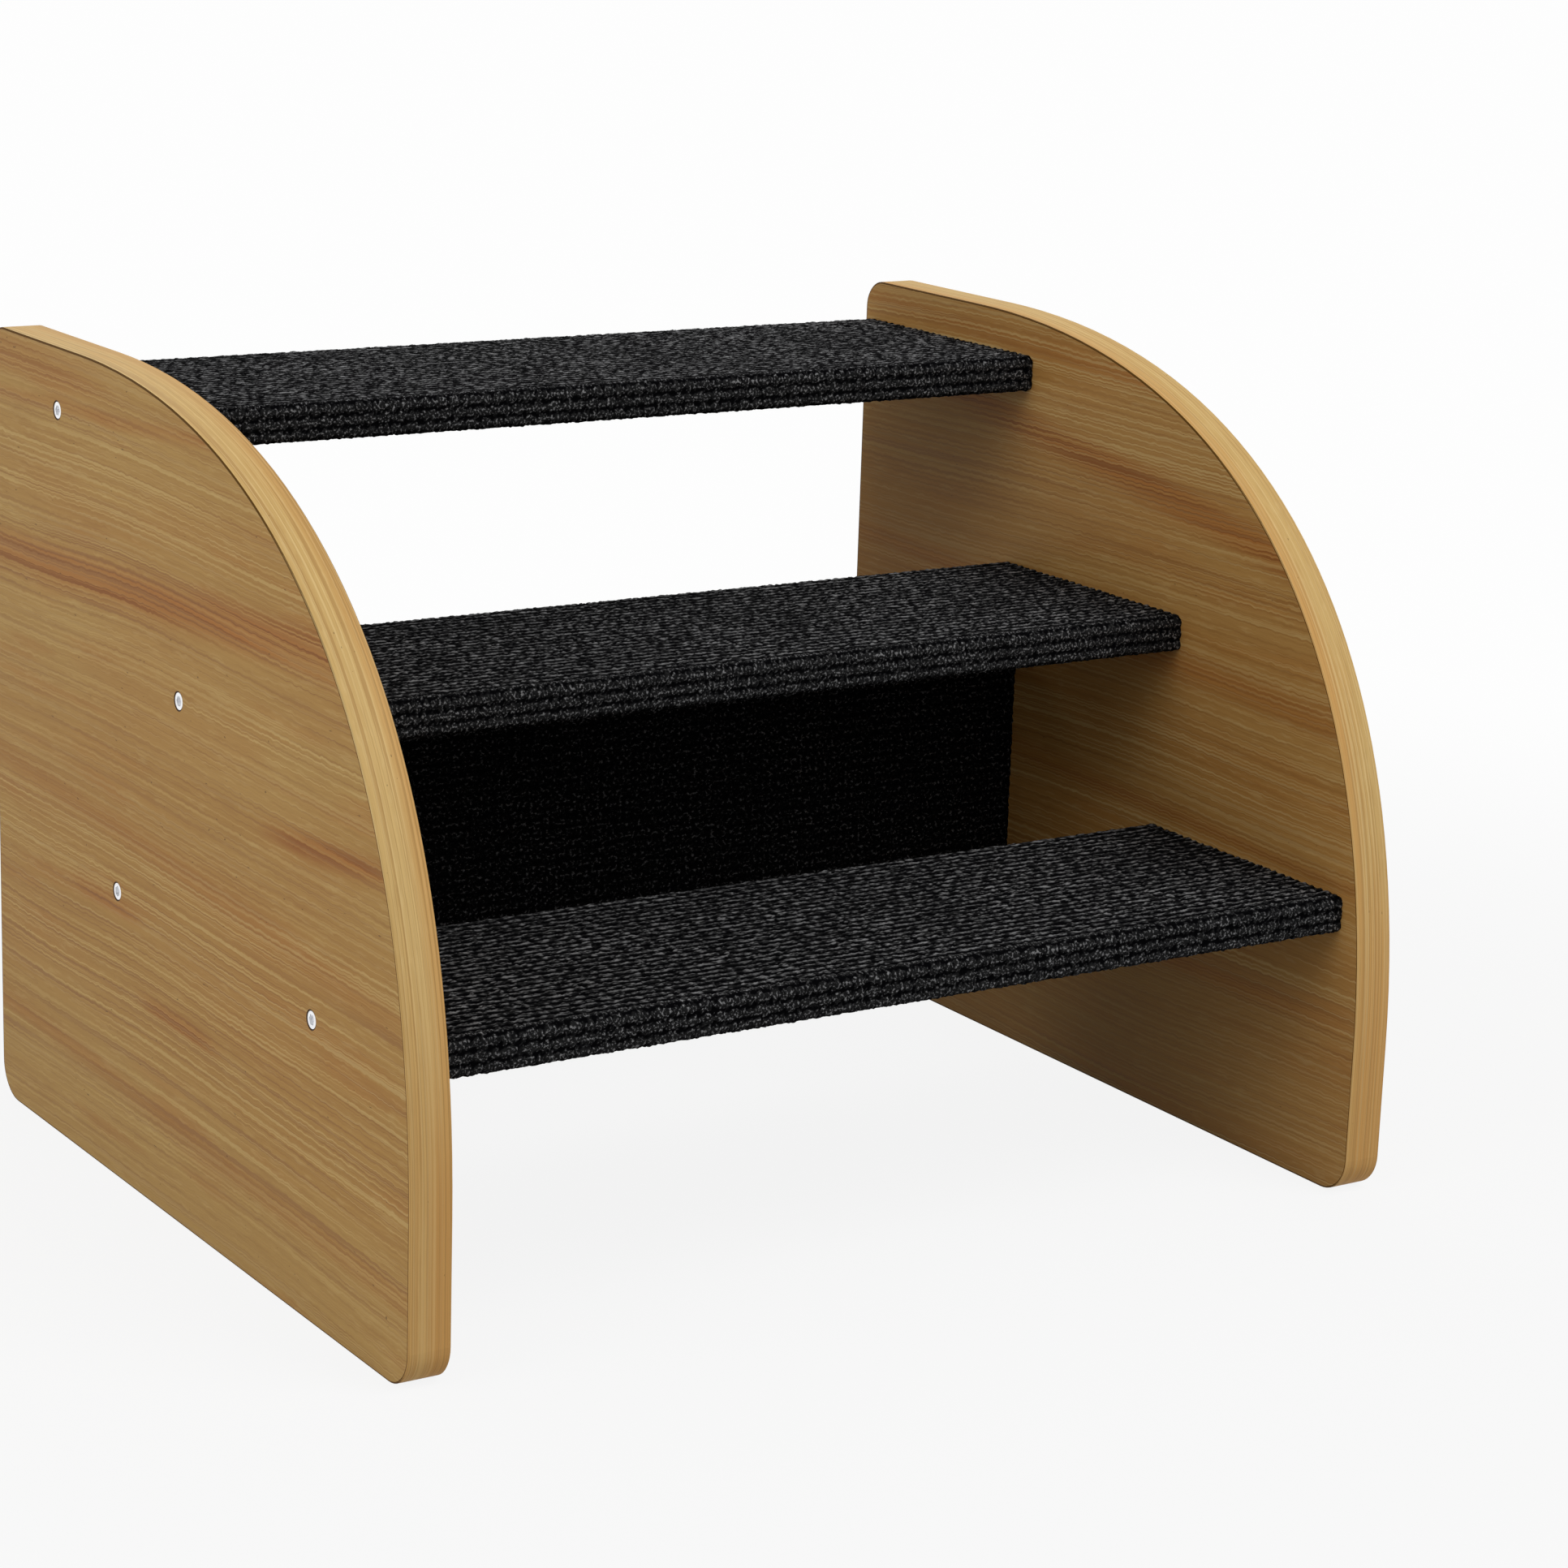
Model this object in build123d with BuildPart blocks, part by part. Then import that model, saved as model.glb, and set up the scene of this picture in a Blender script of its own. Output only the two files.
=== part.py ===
from build123d import *
import os
from math import cos, pi, radians, sin, tan

# Three-step pet stairs: two curved side panels with edge bands, joined by three carpeted
# treads and one upright carpeted brace. Connector screws and wooden dowels hold each board.
# Millimetres. +X right, +Y from the front to the back, +Z up. The origin is on the floor,
# under the middle of the stairs.

os.makedirs("parts", exist_ok=True)

# Side panels, outside sizes over the edge band
panel_height = 345.0
panel_depth = 390.0
panel_thickness = 18.0
clear_width = 432.0
foot_radius = 16.0
crown_radius = 13.0

# Front curve of a side panel: an upright edge, then one full curve up to the flat top
front_upright = 66.0
top_flat = 95.0
curve_fullness_share = 0.647

# Edge band
band_thickness = 0.8
band_chamfer = 0.4
band_seam_gap = 0.4
band_seam_offset = 90.0

# Boards, the same for the treads and the brace
board_depth = 130.6
board_thickness = 12.0
board_edge_radius = 0.8

# Places of the boards: the treads are evenly spaced between the lowest and the top one
low_tread_setback = 13.6
low_tread_height = 130.6
top_tread_back_inset = 3.2
top_tread_drop = 18.4
brace_behind_tread_offset = 2.8
brace_gap = 18.7

# Carpet: a backing with rows of pile that run along the board, each a low ridge
backing_thickness = 1.2
rib_height = 1.0
rib_pitch = 5.0
rib_slope_share = 0.22
carpet_seam_gap = 1.0

# Connector screws
screw_length = 50.0
screw_head_diameter = 7.0
screw_head_rim = 0.3
screw_head_angle = 90.0
screw_shank_diameter = 4.6
screw_tip_length = 2.5
screw_tip_diameter = 2.4
screw_recess = 0.25
socket_width = 4.0
socket_depth = 2.6

# Dowels
dowel_diameter = 6.0
dowel_length = 30.0
dowel_in_panel = 10.0
dowel_offset = 45.0
dowel_chamfer = 0.8
dowel_end_gap = 1.0

# Fits: the gap all round a screw or a dowel, and the overrun of a cut
fit_clearance = 0.05
overrun = 1.0

# Sizes that follow
carpet_thickness = backing_thickness + rib_height
tread_depth = board_depth + 2 * carpet_thickness
tread_thickness = board_thickness + 2 * carpet_thickness
backing_depth = board_depth + 2 * backing_thickness
backing_height = board_thickness + 2 * backing_thickness
backing_radius = board_edge_radius + backing_thickness
panel_outside = clear_width / 2 + panel_thickness
head_radius = screw_head_diameter / 2
shank_radius = screw_shank_diameter / 2
head_slope = tan(radians(screw_head_angle / 2))
head_cone = (head_radius - shank_radius) / head_slope
countersink_radius = head_radius + (screw_recess + screw_head_rim) * head_slope + 2 * fit_clearance
front = -panel_depth / 2
back = panel_depth / 2
curve_run = panel_depth - top_flat
tread_run = (panel_depth - low_tread_setback - top_tread_back_inset - tread_depth) / 2
tread_rise = (panel_height - top_tread_drop - low_tread_height) / 2


def tread_plane(step):
    """Section plane of a tread, with its local X to the back and its local Y up."""
    centre_y = front + low_tread_setback + tread_depth / 2 + step * tread_run
    centre_z = low_tread_height - tread_thickness / 2 + step * tread_rise
    return Plane(origin=(0, centre_y, centre_z), x_dir=(0, 1, 0), z_dir=(1, 0, 0))


def brace_plane():
    """Section plane of the upright brace, with its local X up and its local Y to the front."""
    tread_middle = tread_plane(1).origin
    back_face = tread_middle.Y + tread_depth / 2 + brace_behind_tread_offset
    top_edge = tread_middle.Z - tread_thickness / 2 - brace_gap
    return Plane(
        origin=(0, back_face - tread_thickness / 2, top_edge - tread_depth / 2),
        x_dir=(0, 0, 1),
        z_dir=(1, 0, 0),
    )


boards = {
    "low_tread": tread_plane(0),
    "middle_tread": tread_plane(1),
    "top_tread": tread_plane(2),
    "back_brace": brace_plane(),
}
sides = {"left": -1, "right": 1}


def end_plane(board_plane, side, distance):
    """Plane across a board's axis, facing outward, at a distance from the middle."""
    return Plane(
        origin=board_plane.origin + Vector(side * distance, 0, 0),
        x_dir=board_plane.x_dir,
        z_dir=(side, 0, 0),
    )


def backing_point(distance, height):
    """Point over the carpet's backing, at a distance round it from its lower nose corner."""
    quarter = pi / 2 * backing_radius
    for corner in range(4):
        heading = radians(90 - 90 * corner)
        outward = heading + pi / 2
        along, out = (backing_height, backing_depth) if corner % 2 == 0 else (backing_depth, backing_height)
        straight = along - 2 * backing_radius
        if distance <= straight + quarter or corner == 3:
            travel = min(distance, straight) - straight / 2
            turned = outward - max(distance - straight, 0) / backing_radius
            reach = out / 2 - backing_radius
            radius = backing_radius + height
            return (
                travel * cos(heading) + reach * cos(outward) + radius * cos(turned),
                travel * sin(heading) + reach * sin(outward) + radius * sin(turned),
            )
        distance -= straight + quarter


# Length round the backing, and the rows of pile that it holds, one of them mid nose
backing_girth = 2 * (backing_depth + backing_height) - (8 - 2 * pi) * backing_radius
rib_count = round(backing_girth / rib_pitch)
rib_step = backing_girth / rib_count
first_rib = (backing_height - 2 * backing_radius - rib_step) / 2 + backing_girth


def side_outline(inset):
    """Outline of a side panel, drawn in by an inset all round."""
    run = curve_run - inset
    rise = panel_height - front_upright - inset
    start = (front + inset, front_upright)
    end = (front + curve_run, panel_height - inset)
    with BuildSketch() as outline:
        with BuildLine():
            Bezier(
                start,
                (start[0], start[1] + curve_fullness_share * rise),
                (end[0] - curve_fullness_share * run, end[1]),
                end,
            )
            FilletPolyline(
                end,
                (back - inset, panel_height - inset),
                (back - inset, inset),
                (front + inset, inset),
                start,
                radius=[crown_radius - inset, foot_radius - inset, foot_radius - inset],
            )
        make_face()
    return outline.sketch


# Side panels with their edge bands
for side_name, side in sides.items():
    inner_face = Plane.YZ.offset(side * clear_width / 2)

    with BuildPart() as panel:
        with BuildSketch(inner_face):
            add(side_outline(band_thickness))
        extrude(amount=side * panel_thickness)
        for board_plane in boards.values():
            with Locations(end_plane(board_plane, side, panel_outside)):
                CounterSinkHole(
                    radius=shank_radius + fit_clearance,
                    counter_sink_radius=countersink_radius,
                    depth=panel_thickness + overrun,
                    counter_sink_angle=screw_head_angle,
                )
            with BuildSketch(end_plane(board_plane, side, clear_width / 2)):
                with GridLocations(2 * dowel_offset, 0, 2, 1):
                    Circle(dowel_diameter / 2 + fit_clearance)
            extrude(amount=dowel_in_panel + dowel_end_gap, mode=Mode.SUBTRACT)
    panel.part.label = f"{side_name}_side_panel"
    export_step(panel.part, f"parts/{side_name}_side_panel.step")

    with BuildPart() as band:
        with BuildSketch(inner_face):
            add(side_outline(0))
        extrude(amount=side * panel_thickness)
        edges_across = band.edges().group_by(Axis.X)
        chamfer(edges_across[0] + edges_across[-1], length=band_chamfer)
        with BuildSketch(inner_face):
            add(side_outline(band_thickness))
            with Locations((back - band_seam_offset, 0)):
                Rectangle(band_seam_gap, 2 * band_thickness + overrun)
        extrude(amount=side * panel_thickness, mode=Mode.SUBTRACT)
    band.part.label = f"{side_name}_edge_band"
    export_step(band.part, f"parts/{side_name}_edge_band.step")

# Boards, with a screw hole and two dowel holes in each end
for board_name, board_plane in boards.items():
    with BuildPart() as board:
        with BuildSketch(board_plane):
            RectangleRounded(board_depth, board_thickness, board_edge_radius)
        extrude(amount=clear_width / 2, both=True)
        for side in sides.values():
            board_end = end_plane(board_plane, side, clear_width / 2)
            with BuildSketch(board_end):
                Circle(shank_radius + fit_clearance)
            extrude(amount=-(screw_length - panel_thickness + overrun), mode=Mode.SUBTRACT)
            with BuildSketch(board_end):
                with GridLocations(2 * dowel_offset, 0, 2, 1):
                    Circle(dowel_diameter / 2 + fit_clearance)
            extrude(amount=-(dowel_length - dowel_in_panel + dowel_end_gap), mode=Mode.SUBTRACT)
    board.part.label = f"{board_name}_board"
    export_step(board.part, f"parts/{board_name}_board.step")

# Carpets, each wrapped once round its board, with its seam on the hidden side
for board_name, board_plane in boards.items():
    with BuildPart() as carpet:
        with BuildSketch(board_plane):
            with BuildLine():
                for rib in range(rib_count):
                    start = first_rib + rib * rib_step
                    Polyline(
                        backing_point(start % backing_girth, 0),
                        backing_point((start + rib_slope_share * rib_step) % backing_girth, rib_height),
                        backing_point((start + (1 - rib_slope_share) * rib_step) % backing_girth, rib_height),
                        backing_point((start + rib_step) % backing_girth, 0),
                    )
            make_face()
            RectangleRounded(board_depth, board_thickness, board_edge_radius, mode=Mode.SUBTRACT)
            with Locations((0, -tread_thickness / 2)):
                Rectangle(carpet_seam_gap, 2 * carpet_thickness + overrun, mode=Mode.SUBTRACT)
        extrude(amount=clear_width / 2, both=True)
    carpet.part.label = f"{board_name}_carpet"
    export_step(carpet.part, f"parts/{board_name}_carpet.step")

# Connector screws and dowel pairs
for board_name, board_plane in boards.items():
    for side_name, side in sides.items():
        head_plane = end_plane(board_plane, side, panel_outside - screw_recess)
        half_section = Plane(origin=head_plane.origin, x_dir=(0, 1, 0), z_dir=(0, 0, -side))

        with BuildPart() as screw:
            with BuildSketch(half_section):
                with BuildLine():
                    Polyline(
                        (0, 0),
                        (head_radius, 0),
                        (head_radius, -screw_head_rim),
                        (shank_radius, -screw_head_rim - head_cone),
                        (shank_radius, screw_tip_length - screw_length),
                        (screw_tip_diameter / 2, -screw_length),
                        (0, -screw_length),
                        close=True,
                    )
                make_face()
            revolve(axis=Axis(head_plane.origin, head_plane.z_dir))
            with BuildSketch(head_plane):
                RegularPolygon(socket_width / 2, 6, major_radius=False)
            extrude(amount=-socket_depth, mode=Mode.SUBTRACT)
        screw.part.label = f"{side_name}_{board_name}_screw"
        export_step(screw.part, f"parts/{side_name}_{board_name}_screw.step")

        with BuildPart() as dowels:
            with BuildSketch(end_plane(board_plane, side, clear_width / 2 + dowel_in_panel)):
                with GridLocations(2 * dowel_offset, 0, 2, 1):
                    Circle(dowel_diameter / 2)
            extrude(amount=-dowel_length)
            chamfer(dowels.edges().filter_by(GeomType.CIRCLE), dowel_chamfer)
        dowels.part.label = f"{side_name}_{board_name}_dowels"
        export_step(dowels.part, f"parts/{side_name}_{board_name}_dowels.step")
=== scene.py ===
import logging
import math
from dataclasses import dataclass, field, replace
from enum import Enum

import bpy
import numpy as np
from mathutils import Matrix, Vector


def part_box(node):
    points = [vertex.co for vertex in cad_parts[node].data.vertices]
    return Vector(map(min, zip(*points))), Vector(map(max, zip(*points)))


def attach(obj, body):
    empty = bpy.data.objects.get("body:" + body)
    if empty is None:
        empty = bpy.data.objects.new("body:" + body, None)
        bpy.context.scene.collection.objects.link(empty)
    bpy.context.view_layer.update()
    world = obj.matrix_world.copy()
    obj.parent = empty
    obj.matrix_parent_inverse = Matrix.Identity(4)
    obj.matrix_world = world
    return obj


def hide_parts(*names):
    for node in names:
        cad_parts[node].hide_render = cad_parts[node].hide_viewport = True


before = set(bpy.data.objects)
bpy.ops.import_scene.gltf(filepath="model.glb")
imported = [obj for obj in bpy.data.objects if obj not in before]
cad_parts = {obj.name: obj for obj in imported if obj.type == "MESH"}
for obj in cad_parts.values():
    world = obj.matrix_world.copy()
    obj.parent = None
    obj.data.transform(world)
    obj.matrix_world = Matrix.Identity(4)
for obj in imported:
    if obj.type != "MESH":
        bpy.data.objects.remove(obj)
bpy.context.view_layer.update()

LOG = logging.getLogger("pet_stairs")
MM = 0.001
BODY = "root"
FIRST_SEED = 21

# Attributes of a pile's mesh: its place on the flat cloth with its height share, and its tuft share
PILE_PLACE = "pile_place"
PILE_TUFT = "pile_tuft"

# Socket types of a node group, the places of a Mix node's colour sockets, and a colour's opacity
FLOAT = "NodeSocketFloat"
COLOUR = "NodeSocketColor"
VECTOR = "NodeSocketVector"
MIX_FIRST = 6
MIX_SECOND = 7
MIX_RESULT = 2
OPAQUE = 1.0

Pair = tuple[float, float]
Triple = tuple[float, float, float]
Colour = Triple
Array = np.ndarray
Material = bpy.types.Material
Tree = bpy.types.NodeTree
Node = bpy.types.Node
Socket = bpy.types.NodeSocket
Value = float | Socket
Paint = Colour | Socket
Inputs = dict[str | int, object]


class Side(Enum):
    """The two sides of the stairs, as their nodes' names give them."""

    LEFT = "left"
    RIGHT = "right"


class BoardPose(Enum):
    """How a carpeted board stands between the side panels."""

    TREAD = "tread"
    UPRIGHT = "upright"


def between(first: Colour, second: Colour, share: float) -> Colour:
    """The colour that lies a share of the way from the first to the second."""
    return tuple(a + share * (b - a) for a, b in zip(first, second))


def stations(start: float, end: float, step: float) -> Array:
    """Evenly spaced places from a start to an end, about a step apart."""
    return np.linspace(start, end, round((end - start) / step) + 1)


class Graph:
    """A shader node tree, written in short calls that return sockets."""

    def __init__(self, tree: Tree) -> None:
        """Take the tree to write in, which is a material's, a world's or a group's."""
        self.tree = tree

    def feed(self, node: Node, inputs: Inputs) -> None:
        """Set inputs of a node.

        Args:
            node: the node.
            inputs: socket name or index to a value or to a socket that feeds it.
        """
        for name, value in inputs.items():
            socket = node.inputs[name]
            if isinstance(value, Socket):
                self.tree.links.new(value, socket)
            else:
                socket.default_value = (*value, OPAQUE) if socket.type == "RGBA" else value

    def node(self, kind: str, inputs: Inputs | None = None, **settings: object) -> Node:
        """Add one node.

        Args:
            kind: Blender's name of the node type.
            inputs: socket name or index to a value or to a socket that feeds it.
            settings: attributes of the node.

        Returns:
            The new node.
        """
        made = self.tree.nodes.new(kind)
        for name, value in settings.items():
            setattr(made, name, value)
        self.feed(made, inputs or {})
        return made

    def group(self, tree: Tree, inputs: Inputs) -> Node:
        """Put a node group into the tree with its own values."""
        return self.node("ShaderNodeGroup", inputs, node_tree=tree)

    def math(self, operation: str, first: Value, second: Value = 0.0) -> Socket:
        """The result of a math operation."""
        return self.node("ShaderNodeMath", {0: first, 1: second}, operation=operation).outputs[0]

    def times(self, first: Value, second: Value) -> Socket:
        """The product of two values."""
        return self.math("MULTIPLY", first, second)

    def scaled(self, value: Value, factor: float, offset: float = 0.0) -> Socket:
        """A value times a factor, plus an offset."""
        inputs = {0: value, 1: factor, 2: offset}
        return self.node("ShaderNodeMath", inputs, operation="MULTIPLY_ADD").outputs[0]

    def place(self, x: Value, y: Value, z: Value) -> Socket:
        """Coordinates joined from three values."""
        return self.node("ShaderNodeCombineXYZ", {0: x, 1: y, 2: z}).outputs[0]

    def axes(self, vector: Socket) -> tuple[Socket, Socket, Socket]:
        """The three parts of a vector."""
        return tuple(self.node("ShaderNodeSeparateXYZ", {0: vector}).outputs)

    def frame_place(self) -> Socket:
        """The place in the frame, where the dressed nodes and the floor have their origin."""
        return self.node("ShaderNodeTexCoord").outputs["Object"]

    def stretched(self, vector: Socket, scales: Triple) -> Socket:
        """Coordinates with each axis scaled by itself."""
        inputs = {0: vector, 1: scales}
        return self.node("ShaderNodeVectorMath", inputs, operation="MULTIPLY").outputs[0]

    def mix(self, amount: Value, first: Paint, second: Paint, blend: str = "MIX") -> Socket:
        """A mix of two colours, where an amount of 0 gives the first."""
        inputs = {0: amount, MIX_FIRST: first, MIX_SECOND: second}
        made = self.node("ShaderNodeMix", inputs, data_type="RGBA", blend_type=blend)
        return made.outputs[MIX_RESULT]

    def mix_shaders(self, amount: Value, first: Node, second: Node) -> Socket:
        """A mix of two shader nodes, where an amount of 0 gives the first."""
        inputs = {0: amount, 1: first.outputs[0], 2: second.outputs[0]}
        return self.node("ShaderNodeMixShader", inputs).outputs[0]

    def band(
        self, value: Value, low: Value, high: Value, start: float = 0.0, end: float = 1.0
    ) -> Socket:
        """A smooth step of a value, from start below low to end above high."""
        inputs = {0: value, 1: low, 2: high, 3: start, 4: end}
        return self.node("ShaderNodeMapRange", inputs, interpolation_type="SMOOTHSTEP").outputs[0]

    def noise(
        self, vector: Socket, detail: float = 2.0, roughness: float = 0.5, scale: float = 1.0
    ) -> Socket:
        """Noise with some octaves of a roughness, and a scale of features per unit of the vector."""
        inputs = {"Vector": vector, "Scale": scale, "Detail": detail, "Roughness": roughness}
        return self.node("ShaderNodeTexNoise", inputs).outputs["Fac"]

    def bump(self, height: Socket, strength: float, distance: float) -> Socket:
        """The normal that a bump of this height gives."""
        inputs = {"Strength": strength, "Distance": distance, "Height": height}
        return self.node("ShaderNodeBump", inputs).outputs[0]

    def normal(self, axis: int) -> Socket:
        """The true normal's part along an axis, which is 0 for X, 1 for Y or 2 for Z."""
        return self.axes(self.node("ShaderNodeNewGeometry").outputs["True Normal"])[axis]

    def facing(self, axis: int, steps: Pair) -> Socket:
        """Mask of the faces across an axis, which rises between two parts of the normal along it."""
        return self.band(self.math("ABSOLUTE", self.normal(axis)), *steps)


def new_group(
    name: str, colours: tuple[str, ...], values: dict[str, float], outputs: dict[str, str]
) -> tuple[Graph, Node, Node]:
    """Make an empty shader node group, with coordinates as its first input.

    Args:
        name: name of the group.
        colours: names of its colour inputs.
        values: names and defaults of its value inputs.
        outputs: output name to its socket type.

    Returns:
        The group's graph, its input node and its output node.
    """
    tree = bpy.data.node_groups.new(name, "ShaderNodeTree")
    inputs = {"Vector": VECTOR, **dict.fromkeys(colours, COLOUR), **dict.fromkeys(values, FLOAT)}
    for label, kind in inputs.items():
        made = tree.interface.new_socket(name=label, in_out="INPUT", socket_type=kind)
        if label in values:
            made.default_value = values[label]
    for label, kind in outputs.items():
        tree.interface.new_socket(name=label, in_out="OUTPUT", socket_type=kind)
    graph = Graph(tree)
    return graph, graph.node("NodeGroupInput"), graph.node("NodeGroupOutput")


@dataclass(frozen=True)
class Marks:
    """Marks of a print or a yarn: their fineness along and across it, and their noise step."""

    along: float
    across: Value
    steps: Pair

    def inputs(self) -> Inputs:
        """The marks' inputs of a node group."""
        low, high = self.steps
        return {"Along": self.along, "Across": self.across, "Low": low, "High": high}


@dataclass(frozen=True)
class Grain(Marks):
    """Marks in the wood, and their share."""

    share: float = 1.0


@dataclass(frozen=True)
class Wave:
    """A waviness of the grain: its fineness along and across the grain, and its whole height."""

    along: float
    across: float
    height: float


@dataclass(frozen=True)
class WoodFigure:
    """Printed wood figure: tone bands, fibres, heart streaks, dark and light lines, and pores."""

    bend: Wave = Wave(3.0, 5.0, 20 * MM)
    ripple: Wave = Wave(260.0, 200.0, 1.6 * MM)
    tone: Grain = Grain(2.0, 24.0, (0.36, 0.64))
    warm: Grain = Grain(3.5, 15.0, (0.5, 0.68), 0.2)
    blush: Grain = Grain(9.0, 75.0, (0.54, 0.7), 0.3)
    fibre: Grain = Grain(14.0, 950.0, (0.35, 0.65), 0.18)
    dash: Grain = Grain(55.0, 800.0, (0.5, 0.68), 0.2)
    glint: Grain = Grain(70.0, 620.0, (0.56, 0.7), 0.2)
    heart: Grain = Grain(2.2, 90.0, (0.35, 0.6), 0.55)
    heart_line: Grain = Grain(2.0, 760.0, (0.48, 0.56))
    dark_bundle: Grain = Grain(1.8, 36.0, (0.42, 0.58))
    dark_line: Grain = Grain(3.0, 860.0, (0.53, 0.61), 0.6)
    light_bundle: Grain = Grain(1.9, 31.0, (0.42, 0.58))
    light_line: Grain = Grain(3.2, 1000.0, (0.53, 0.61), 0.5)
    pore: Grain = Grain(330.0, 900.0, (0.865, 0.89), 0.6)
    pore_colour: Colour = (0.07, 0.03, 0.012)
    heart_deepening: Colour = (0.6, 0.5, 0.45)
    light_loss_in_heart: float = 0.6
    line_spread: float = 0.55
    relief: float = 0.5

    def group(self, streaks: Tree) -> Tree:
        """Build the figure's node group.

        Args:
            streaks: the group that makes one set of marks.

        Returns:
            The group, with the colour and a height for the embossed lines.
        """
        graph, source, target = new_group(
            "wood_figure",
            colours=("Base", "Tone", "Dark", "Light", "Heart"),
            values={
                "Heart Zone": 0.0,
                "Heart Fineness": self.heart.across,
                "Heart Lines": 1.0,
                "Line Spread": self.line_spread,
                "Bend": 1.0,
            },
            outputs={"Color": COLOUR, "Height": FLOAT},
        )
        given = source.outputs
        place = self._wavy(graph, given["Vector"], given["Bend"])

        def mask(grain: Grain) -> Socket:
            """Mask of one set of marks."""
            return graph.group(streaks, {"Vector": place, **grain.inputs()}).outputs["Mask"]

        def lines(line: Grain, bundle: Grain) -> Socket:
            """Mask of thin lines that gather in bundles."""
            return graph.times(mask(line), graph.math("MAXIMUM", mask(bundle), given["Line Spread"]))

        def paint(colour: Socket, amount: Socket, share: float, second: Paint) -> Socket:
            """A colour with a second one over it, by a share of an amount."""
            return graph.mix(graph.scaled(amount, share), colour, second)

        colour = graph.mix(mask(self.tone), given["Base"], given["Tone"])
        for grain in (self.warm, self.blush):
            colour = paint(colour, mask(grain), grain.share, given["Heart"])
        for grain in (self.fibre, self.dash):
            colour = paint(colour, mask(grain), grain.share, given["Dark"])
        colour = paint(colour, mask(self.glint), self.glint.share, given["Light"])
        zone = given["Heart Zone"]
        heart = mask(replace(self.heart, across=given["Heart Fineness"]))
        heart = graph.times(zone, graph.scaled(heart, self.heart.share, 1.0 - self.heart.share))
        colour = graph.mix(heart, colour, given["Heart"])
        heart_line = graph.times(graph.times(zone, mask(self.heart_line)), given["Heart Lines"])
        deep = graph.mix(1.0, given["Heart"], self.heart_deepening, blend="MULTIPLY")
        colour = graph.mix(heart_line, colour, deep)
        dark_line = lines(self.dark_line, self.dark_bundle)
        colour = paint(colour, dark_line, self.dark_line.share, given["Dark"])
        light_line = lines(self.light_line, self.light_bundle)
        light_line = graph.times(light_line, graph.scaled(zone, -self.light_loss_in_heart, 1.0))
        colour = paint(colour, light_line, self.light_line.share, given["Light"])
        speckles = graph.stretched(given["Vector"], (self.pore.along, self.pore.across, 1.0))
        pore = graph.band(graph.noise(speckles, detail=0.0), *self.pore.steps)
        colour = paint(colour, pore, self.pore.share, self.pore_colour)
        height = graph.scaled(graph.math("SUBTRACT", light_line, dark_line), self.relief)
        graph.feed(target, {"Color": colour, "Height": height})
        return graph.tree

    def _wavy(self, graph: Graph, place: Socket, bend: Socket) -> Socket:
        """Make the grain wavy.

        Args:
            graph: the group's graph.
            place: coordinates along the grain, across it and from one layer of it to the next.
            bend: share of the waves' height.

        Returns:
            The wavy coordinates.
        """
        run, rise, layer = graph.axes(place)
        swings = []
        for wave in (self.bend, self.ripple):
            value = graph.noise(graph.stretched(place, (wave.along, wave.across, 1.0)), detail=1.0)
            swings.append(graph.times(graph.scaled(value, wave.height, -wave.height / 2), bend))
        return graph.place(run, graph.math("ADD", rise, graph.math("ADD", *swings)), layer)


@dataclass(frozen=True)
class Patch:
    """A patchiness of the pile: its fineness beside the fibres', its step and its least share."""

    fineness: float
    steps: Pair
    least: float


@dataclass(frozen=True)
class PileFlecks:
    """Pale fibre flecks on dark pile yarn, kept to the loops' crests; the bare valleys are painted
    shade.
    """

    body_patch: Patch = Patch(0.3, (0.3, 0.65), 0.5)
    fleck_patch: Patch = Patch(0.06, (0.3, 0.7), 0.7)
    fibre_roughness: float = 0.6

    def group(self) -> Tree:
        """Build the flecks' node group.

        Returns:
            The group, with the colour and a fine fibre height.
        """
        graph, source, target = new_group(
            "pile_flecks",
            colours=("Yarn", "Body", "Fleck"),
            values={"Along": 260.0, "Across": 900.0, "Low": 0.5, "High": 0.7, "Lit Crest": 1.0},
            outputs={"Color": COLOUR, "Height": FLOAT},
        )
        given = source.outputs
        run, rise, _ = graph.axes(given["Vector"])
        flat = graph.place(graph.times(run, given["Along"]), graph.times(rise, given["Across"]), 0.0)

        def share(patch: Patch) -> Socket:
            """Share that a patchiness gives over the pile."""
            value = graph.noise(flat, detail=1.0, scale=patch.fineness)
            return graph.band(value, *patch.steps, patch.least, 1.0)

        # Body tone and flecks only on the crests: the dark valleys between them are painted shade.
        body = graph.times(share(self.body_patch), given["Lit Crest"])
        colour = graph.mix(body, given["Yarn"], given["Body"])
        fibre = graph.noise(flat, roughness=self.fibre_roughness)
        fleck = graph.times(graph.band(fibre, given["Low"], given["High"]), share(self.fleck_patch))
        colour = graph.mix(graph.times(fleck, given["Lit Crest"]), colour, given["Fleck"])
        graph.feed(target, {"Color": colour, "Height": fibre})
        return graph.tree


class ShaderGroups:
    """The node groups, each built once and placed in the materials that use it."""

    def __init__(self) -> None:
        """Build every group."""
        self.figure = WoodFigure().group(self._streaks())
        self.flecks = PileFlecks().group()

    @staticmethod
    def _streaks() -> Tree:
        """Build the group of long thin streaks along the first axis of the coordinates.

        Returns:
            The group, with a mask that is 1 in the streaks.
        """
        graph, source, target = new_group(
            "grain_streaks",
            colours=(),
            values={"Along": 3.0, "Across": 300.0, "Low": 0.5, "High": 0.7},
            outputs={"Mask": FLOAT},
        )
        given = source.outputs
        run, rise, layer = graph.axes(given["Vector"])
        place = graph.place(graph.times(run, given["Along"]), graph.times(rise, given["Across"]), layer)
        graph.feed(target, {"Mask": graph.band(graph.noise(place), given["Low"], given["High"])})
        return graph.tree


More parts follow.
